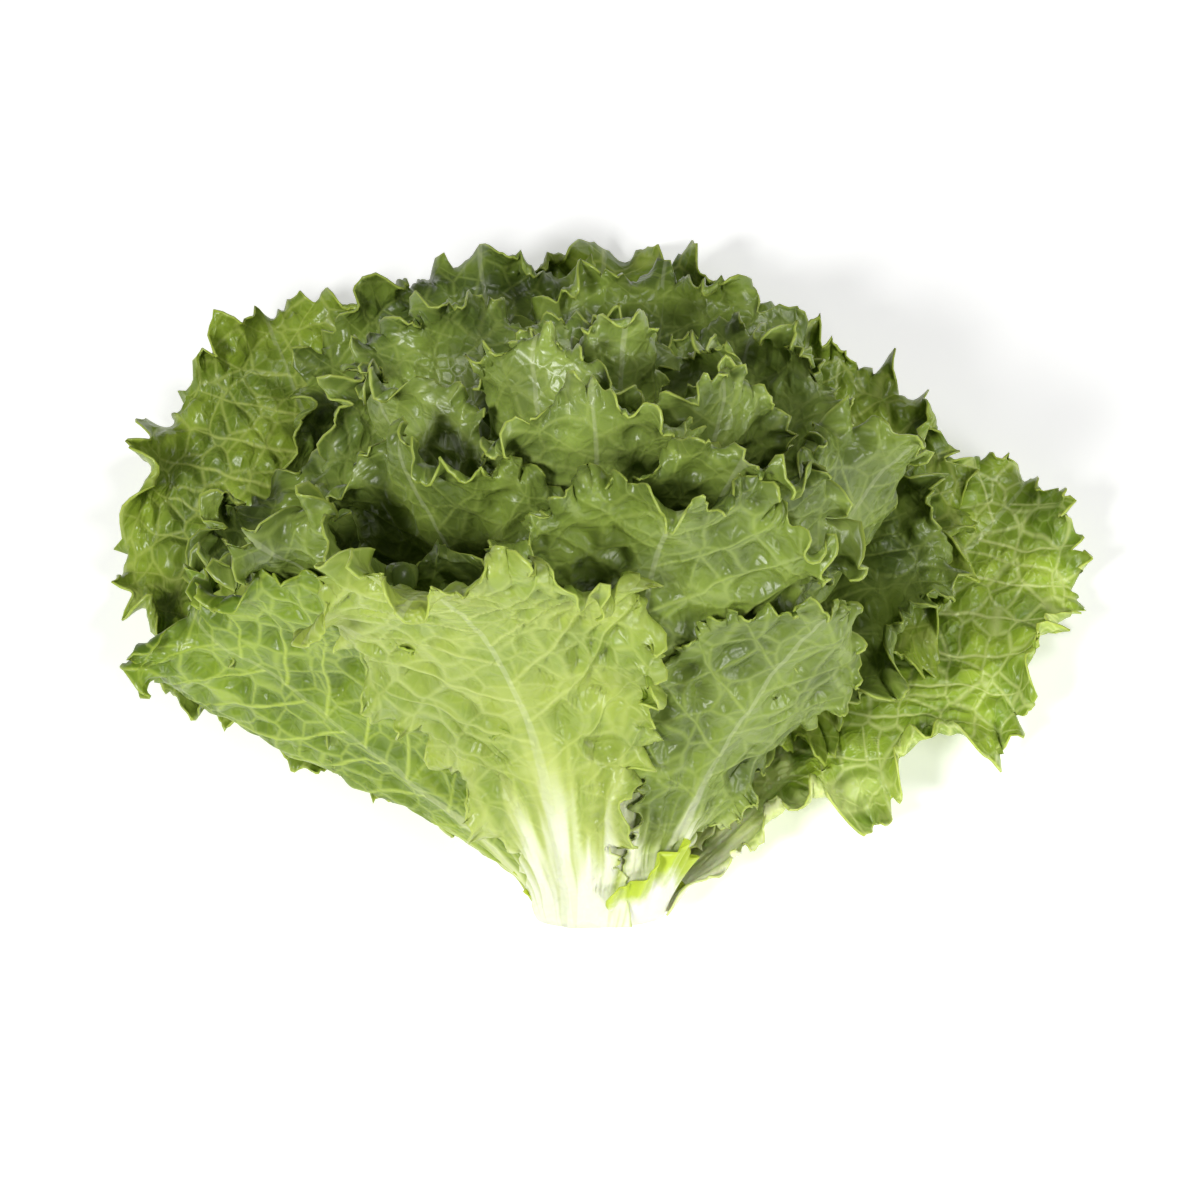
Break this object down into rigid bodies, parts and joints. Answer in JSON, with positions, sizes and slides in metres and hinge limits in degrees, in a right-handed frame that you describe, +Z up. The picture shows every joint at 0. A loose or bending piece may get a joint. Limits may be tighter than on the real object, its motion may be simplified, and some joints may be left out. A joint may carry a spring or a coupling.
{
  "type": "green leaf lettuce",
  "caption": "Loose cut head of frilly green leaf lettuce lying on its side, ruffled leaves fanned out from a pale cut stem.",
  "frame": {"origin": "on the table, under the middle of the head's box", "axes": "+Z up; the cut stem lies towards -Y and the leaf tips towards +Y; the leaves fan out along X"},
  "size_m": [0.3368, 0.2746, 0.1804],
  "materials": {
    "stem": "moist pale stem flesh with a cut face",
    "outer_leaf": "waxy, blistered green leaf with pale veins and a yellow-green frilled edge",
    "front_leaf": "pale leaf, back side out, with a broad white rib that greens towards the edge",
    "heart_leaf": "tender young leaf, mid green with a tightly frilled edge"
  },
  "bodies": {
    "root": {"stem": "stem", "under_leaf": "outer_leaf", "left_leaf": "outer_leaf", "right_leaf": "outer_leaf", "left_rear_leaf": "outer_leaf", "front_leaf": "front_leaf", "right_rear_leaf": "outer_leaf", "leaf_07": "outer_leaf", "leaf_08": "outer_leaf", "leaf_09": "outer_leaf", "leaf_10": "outer_leaf", "leaf_11": "heart_leaf", "leaf_12": "heart_leaf", "leaf_13": "heart_leaf", "leaf_14": "heart_leaf", "leaf_15": "heart_leaf", "leaf_16": "heart_leaf", "leaf_17": "heart_leaf", "leaf_18": "heart_leaf", "leaf_19": "heart_leaf", "leaf_20": "heart_leaf", "leaf_21": "heart_leaf", "leaf_22": "heart_leaf", "leaf_23": "heart_leaf", "leaf_24": "heart_leaf", "leaf_25": "heart_leaf", "leaf_26": "heart_leaf"}
  },
  "joints": []
}
